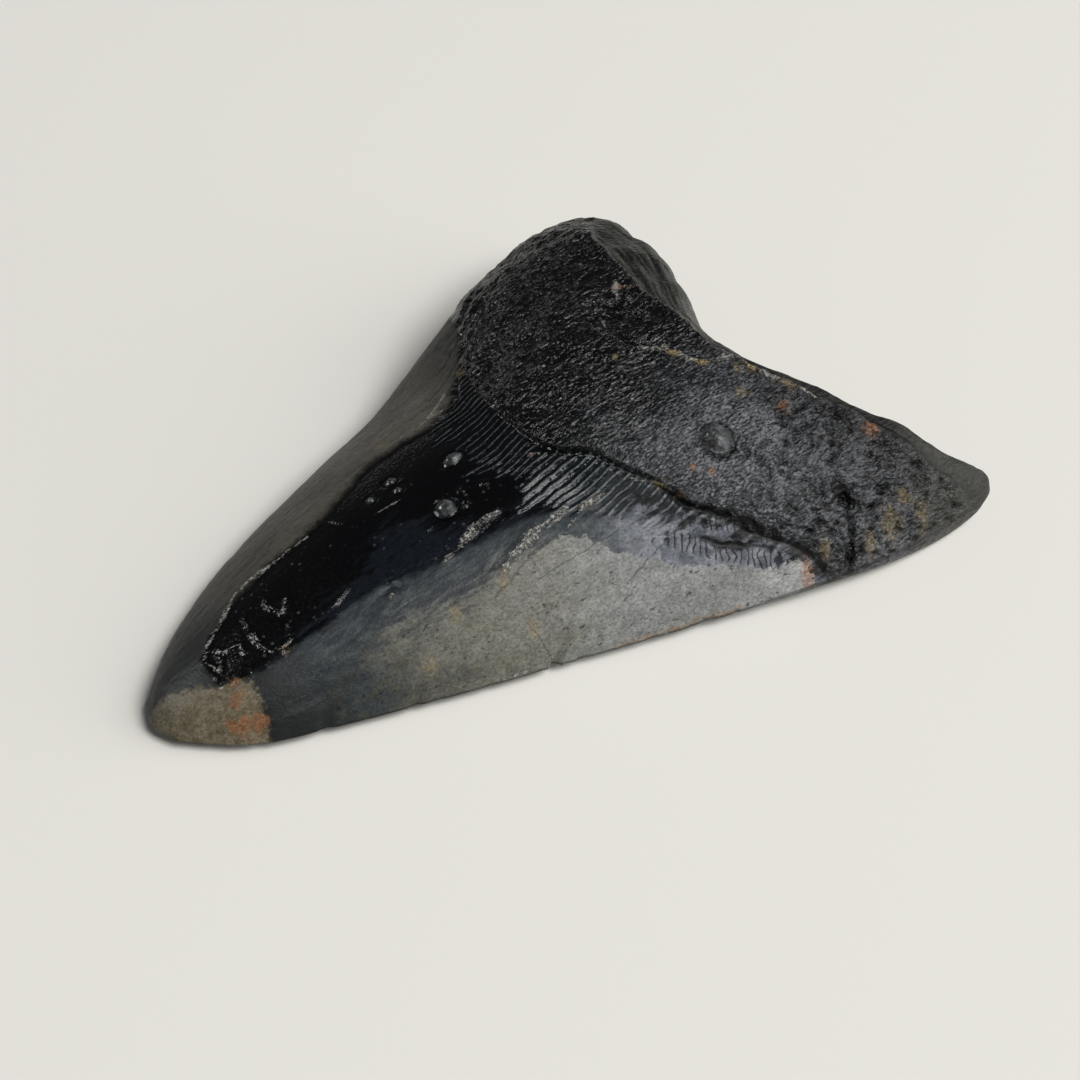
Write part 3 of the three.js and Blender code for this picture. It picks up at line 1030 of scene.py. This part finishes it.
def banded_crown(make, near):
    """The black core between the far enamel and the near enamel, which fades in by streaks."""
    streaks = make.noise(1.0, 4, 0.65, along=0.11)
    fade = make.zone("fade") + streaks.rise(0.3, 0.7, -1.8, 1.8)
    band = make.zone("band") + streaks.rise(0.3, 0.7, -0.5, 0.5)
    blue_grey = make.blend(streaks.rise(0.4, 0.62), BAND_DARK, BAND_BLUE)
    blue_grey = make.blend(make.x.rise(-41, -30), NEAR_DARK, blue_grey)
    paling = band + streaks.rise(0.3, 0.7, -1.2, 1.2)
    enamel = make.blend(paling.rise(2.0, 7.5), blue_grey, near)
    core = make.blend(fade.rise(-0.5, 2.0), CORE_BLACK, CORE_BLUE)
    core = make.blend(band.rise(-0.8, 1.4), core, enamel)
    crown = make.blend(make.zone("core").rise(-0.9, 0.7), far_enamel(make), core)
    slate = make.blend(make.noise(1.6, 3).rise(0.35, 0.65), SLATE, SLATE_DARK)
    by_pointed_lobe = make.y.rise(-10, -18) * make.x.rise(0, 7)
    return make.blend(fade.rise(-1.5, 1.0) * by_pointed_lobe, crown, slate)


def crown_colour(make, grain):
    """The crown's bands, then its pale patch, small pits, worn tip and ridges."""
    near = near_enamel(make)
    crown = banded_crown(make, near)
    patch = (make.zone("patch") + make.ragged).rise(-0.12, 0.12)
    crown = make.blend(patch, crown, near)
    pits = make.noise(0.42, 2, 0.5, along=0.45).rise(0.37, 0.29)
    crown = make.blend(pits * 0.7, crown, CORE_BLACK)
    tip = make.blend(make.noise(1.0, 4, 0.65).rise(0.35, 0.65), TIP_BEIGE, TIP_PALE)
    on_tip = (make.zone("tip") + make.ragged * 1.6).rise(-0.35, 0.35)
    crown = make.blend(on_tip, crown, tip)
    return ridged(make, crown, grain)


def ridged(make, crown, grain):
    """Thin pale painted highlights along the ridge crests over dark gaps, and black grooves under the
    root.
    """
    crest = make.zone("phase").from_whole().rise(0.5, 0.0)
    gap = crest.rise(0.55, 0.30) * make.zone("ridges")
    between = make.blend(make.y.rise(-2, -12), COMB_BLACK, COMB_TEAL)
    crown = make.blend(gap * 0.95, crown, between)
    groove = make.zone("groove_phase").from_whole().rise(0.20, 0.08)
    groove = groove * make.zone("grooves").rise(0.2, 0.8, 0, 0.85)
    crown = make.blend(groove, crown, CORE_BLACK)
    # Painted highlight: a thin pale line along each ridge crest, broken up by the grain
    line = crest.rise(0.76, 0.95) * make.zone("ridges").rise(0.25, 0.75)
    line = line * grain.rise(0.32, 0.55, 0.25, 1.0)
    highlight_tone = make.blend(make.y.rise(4, -12), SPECK, PAINTED_CREST_HIGHLIGHT)
    return make.blend(line * 0.9, crown, highlight_tone)


def grained_and_glinted_root(make):
    """Black with bright grains by the blunt lobe, grey and grained by the pointed one. The grains' pale
    crests are partly their own colour and partly painted glints, and scattered painted glint specks lie
    over them.
    """
    grey = make.zone("grey")
    patches = make.noise(3.5, 2, 0.5).rise(0.3, 0.7, -0.06, 0.06)
    raised = make.noise(0.27, 1.5, 0.6, along=0.55) + patches + grey.rise(0, 0.8, -0.02, 0.10)
    smooth_start = make.zone("root").rise(5.0, 0.5, 0, -0.07)
    # Painted shade and light by the relief: more crests on raised grains, fewer in creases and cracks
    crest = (raised + smooth_start + make.zone("relief_shade") * 0.12).rise(0.50, 0.74)
    pit_colour = make.blend(grey, ROOT_PIT_BLACK, ROOT_PIT_GREY)
    glinted_crest_colour = make.blend(grey, ROOT_GLINTED_CREST_BLACK, ROOT_GLINTED_CREST_GREY)
    colour = make.blend(crest, pit_colour, glinted_crest_colour)
    # Painted glints: scattered bright specks, stronger on the black side than on the grey side
    painted_glints = make.cells(0.85, along=0.7).rise(0.22, 0.10) * patches.rise(-0.03, 0.03)
    return make.blend(painted_glints * grey.rise(0.2, 0.9, 0.75, 0.35), colour, PAINTED_GLINT)


def root_colour(make):
    """The grained root with its painted glints, darker towards its fibrous basal strip, with painted shade
    in the hollows towards the pointed lobe, and olive on the pointed lobe.
    """
    strip = make.zone("strip")
    margin = (strip + make.ragged * 3).rise(-7.5, -1.0, 0, 0.45)
    colour = make.blend(margin, grained_and_glinted_root(make), ROOT_PIT_BLACK)
    root_places = make.node("ShaderNodeAttribute", attribute_name="fibres").outputs["Vector"]
    fibres = make.noise(0.8, 4, 0.65, across=0.10, place=root_places)
    fibrous = make.blend(fibres.rise(0.42, 0.64), STRIP_DARK, STRIP_PALE)
    colour = make.blend((strip + make.ragged).rise(-0.3, 0.4), colour, fibrous)
    towards_lobe = make.x + make.y * -0.6
    # Painted shade: black in the hollows of the relief towards the pointed lobe
    hollow_shade = towards_lobe.rise(34, 44) * make.zone("relief_shade").rise(0.3, -0.4, 0.30, 0.56)
    colour = make.blend(hollow_shade, colour, ROOT_PIT_BLACK)
    return make.blend((towards_lobe + make.ragged * 6).rise(54, 63, 0, 0.85), colour, LOBE_OLIVE)


def stained(make, whole):
    """Rust and ochre stains, broken up by their own grain, which is coarser on the tip."""
    stain = make.noise(0.45, 4, 0.7)
    on_tip = make.x.rise(-30, -38)
    grained = stain * on_tip.rise(0, 1, 1, 0) + make.noise(1.5, 3, 0.6) * on_tip
    rust = make.zone("rust") * 0.45 + (grained + on_tip * 0.05)
    whole = make.blend(rust.rise(0.74, 1.04, 0, 0.8), whole, make.blend(on_tip, RUST, TIP_RUST))
    ochre = make.zone("ochre") * 0.45 + stain
    return make.blend(ochre.rise(0.78, 1.02, 0, 0.6), whole, OCHRE)


def crumb_share(make):
    """1 on each crumb of a crust, 0 between them."""
    lumps = make.noise(0.28, 3, 0.65, along=0.7)
    return (make.zone("crumbs") * 0.42 + lumps).rise(0.78, 1.00)


def crumbed(make, whole):
    """Grey specks over the core, and pale crumbs, which are ochre where the stain is."""
    specks = make.cells(1.1).rise(0.24, 0.12) * make.zone("specks")
    whole = make.blend(specks * 0.7, whole, SPECK)
    crumb_colour = make.blend(make.zone("ochre").rise(0.1, 0.5), CRUMB, OCHRE_CRUMB)
    return make.blend(crumb_share(make) * 0.85, whole, crumb_colour)


def shaded_and_cracked(make, whole):
    """Black as painted shade in the creases, cracks and hollows of the relief and on the very edge, and
    black along the hairlines.
    """
    # Painted shade: black in the creases, cracks and hollows of the relief
    whole = make.blend(make.zone("relief_shade").rise(-0.3, -1.2, 0, 0.9), whole, CORE_BLACK)
    hair = make.zone("hair_side").absolute().rise(0.11, 0.04)
    hair = hair * make.zone("hair_near").rise(0.2, 0.8, 0, 0.45)
    whole = make.blend(hair, whole, CORE_BLACK)
    # Painted shade: a black line along the very rim, everywhere but near the tip
    edge = make.zone("rim").rise(0.20, 0.03) * make.x.rise(-36, -30)
    return make.blend(edge * 0.6, whole, CORE_BLACK)


def tooth_colour(make):
    """Base colour, laid on zone by zone."""
    grain = make.noise(0.30, 3, 0.65, along=0.7)
    rooted = (make.zone("root") + make.ragged).rise(-0.2, 0.2)
    whole = make.blend(rooted, crown_colour(make, grain), root_colour(make))
    dome = make.blend(make.noise(1.1, 2).rise(0.40, 0.70), DOME_OLIVE, DOME_GREY)
    whole = make.blend(make.zone("domes") * 0.9, whole, dome)
    whole = stained(make, whole)
    whole = crumbed(make, whole)
    whole = shaded_and_cracked(make, whole)
    mottle = make.noise(1.3, 3, 0.6).rise(0.3, 0.7, 0.84, 1.16)
    brightness = grain.rise(0.25, 0.75, 0.62, 1.38) * mottle
    return make.node("ShaderNodeHueSaturation", {"Color": whole, "Value": brightness}).outputs[0]


def tooth_roughness(make):
    """Glossy on the bare core, satin on the enamel, and in between on the root."""
    core = (make.zone("core") + make.ragged).rise(-0.12, 0.12)
    gloss = core * make.zone("band").rise(0.5, -0.5) * make.y.rise(-15, -8)
    rooted = make.zone("root").rise(-0.2, 0.2)
    root = rooted * make.zone("grey").rise(0, 1, 0.20, 0.38)
    both = gloss.rise(0, 1, 0.50, 0.16) * rooted.rise(0, 1, 1, 0) + root
    both = both + make.zone("strip").rise(-0.3, 0.5, 0, 0.2) + make.zone("domes") * -0.10
    return both + make.noise(0.5, 3, 0.6).rise(0.2, 0.8, -0.06, 0.10)


def tooth_bump(make):
    """Fine relief under the size of the mesh's own steps, strongest on the root."""
    rooted = make.zone("root").rise(-0.2, 0.4, 0.10, 1.0)
    rooted = rooted * make.zone("strip").rise(-0.3, 0.5, 1.0, 0.5)
    rooted = rooted * make.zone("domes").rise(0.2, 0.8, 1.0, 0.05)
    coarse = make.noise(0.50, 1.5, 0.5, along=0.5) * rooted
    fine = make.noise(0.20, 1, 0.5, along=0.5) * rooted.rise(0.1, 1.0, 0.08, 0.15)
    height = coarse + fine + crumb_share(make) * 0.30
    inputs = {"Height": height, "Strength": 1.0, "Distance": BUMP_HEIGHT}
    return make.node("ShaderNodeBump", inputs).outputs[0]


def fossil_material():
    material = bpy.data.materials.new("fossil_enamel_and_root")
    material.use_nodes = True
    make = Recipe(material)
    shader = make.node("ShaderNodeBsdfPrincipled", {
        "Base Color": tooth_colour(make),
        "Roughness": tooth_roughness(make),
        "Normal": tooth_bump(make),
        "Specular IOR Level": FOSSIL_SPECULAR,
    })
    make.node("ShaderNodeOutputMaterial", {"Surface": shader.outputs[0]})
    return material


# ---------------------------------------------------------------- floor, light and camera

FLOOR_COLOUR = srgb(222, 221, 216)
FLOOR_RADIUS = 0.75
FLOOR_SIDES = 128
ROOM_COLOUR = (0.90, 0.94, 1.0, 1)
ROOM_LIGHT = 0.11
WARM_WHITE = (1.0, 0.985, 0.955)
WHITE = (1, 1, 1)
# Each light's azimuth from +X and elevation in degrees, distance and size in m, watts and colour
KEY_LIGHT = (-68, 56, 2.8, 1.4, 67.0, WARM_WHITE)
LOW_LIGHT = (-46, 30, 3.2, 3.4, 79.0, WARM_WHITE)
GLINT_LIGHT = (140, 42, 1.0, 0.35, 7.5, WHITE)
CAMERA_AIM = Vector((3.5, -2.6, 0)) * MM
CAMERA_AZIMUTH = math.radians(-39.6)
CAMERA_ELEVATION = math.radians(46)
CAMERA_DISTANCE = 287.5 * MM
CAMERA_LENS = 76.7
CAMERA_SENSOR = 36
CAMERA_NEAREST = 0.01


def make_floor():
    """A round floor, so that its far edge looks level from every side."""
    mesh = bpy.data.meshes.new("floor")
    turns = [2 * math.pi * step / FLOOR_SIDES for step in range(FLOOR_SIDES)]
    rim = [(FLOOR_RADIUS * math.cos(turn), FLOOR_RADIUS * math.sin(turn)) for turn in turns]
    mesh.from_pydata([(x, y, TOOTH_LOW[2] * MM) for x, y in rim], [], [range(FLOOR_SIDES)])
    material = bpy.data.materials.new("floor_paper")
    material.use_nodes = True
    shader = material.node_tree.nodes["Principled BSDF"]
    shader.inputs["Base Color"].default_value = FLOOR_COLOUR
    shader.inputs["Roughness"].default_value = 0.9
    shader.inputs["Specular IOR Level"].default_value = 0.1
    mesh.materials.append(material)
    add_object("floor", mesh)


def make_area_light(name, azimuth, elevation, distance, size, power, colour):
    """A square light that looks at the tooth."""
    light = bpy.data.lights.new(name, "AREA")
    light.size = size
    light.energy = power
    light.color = colour
    lamp = add_object(name, light)
    lamp.visible_camera = False
    turn, tilt = math.radians(azimuth), math.radians(elevation)
    direction = Vector((math.cos(turn) * math.cos(tilt), math.sin(turn) * math.cos(tilt), math.sin(tilt)))
    lamp.location = direction * distance
    lamp.rotation_euler = direction.to_track_quat("Z", "Y").to_euler()
    return lamp


def make_world():
    """A dim room for the reflections, and a pale backdrop where the camera looks past the floor."""
    world = bpy.data.worlds.new("studio")
    world.use_nodes = True
    tree = world.node_tree
    room = tree.nodes["Background"]
    room.inputs["Color"].default_value = ROOM_COLOUR
    room.inputs["Strength"].default_value = ROOM_LIGHT
    backdrop = tree.nodes.new("ShaderNodeBackground")
    backdrop.inputs["Color"].default_value = FLOOR_COLOUR
    choice = tree.nodes.new("ShaderNodeMixShader")
    tree.links.new(tree.nodes.new("ShaderNodeLightPath").outputs["Is Camera Ray"], choice.inputs[0])
    tree.links.new(room.outputs[0], choice.inputs[1])
    tree.links.new(backdrop.outputs[0], choice.inputs[2])
    tree.links.new(choice.outputs[0], tree.nodes["World Output"].inputs["Surface"])
    bpy.context.scene.world = world


def make_light():
    make_area_light("key_light", *KEY_LIGHT)
    make_area_light("low_light", *LOW_LIGHT)
    glint_light = make_area_light("glint_light", *GLINT_LIGHT)
    glint_light.visible_diffuse = False
    make_world()
    bpy.context.scene.view_settings.view_transform = "Standard"


def make_camera():
    data = bpy.data.cameras.new("camera")
    data.lens = CAMERA_LENS
    data.sensor_width = CAMERA_SENSOR
    data.clip_start = CAMERA_NEAREST
    camera = add_object("camera", data)
    level = math.cos(CAMERA_ELEVATION)
    backwards = Vector((math.sin(CAMERA_AZIMUTH) * level, -math.cos(CAMERA_AZIMUTH) * level,
                        math.sin(CAMERA_ELEVATION)))
    camera.location = CAMERA_AIM + backwards * CAMERA_DISTANCE
    camera.rotation_euler = backwards.to_track_quat("Z", "Y").to_euler()
    bpy.context.scene.camera = camera


make_camera()
make_light()
make_floor()
tooth = tooth_skin()
tooth.data.materials.append(fossil_material())
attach(tooth, "root")
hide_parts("tooth")
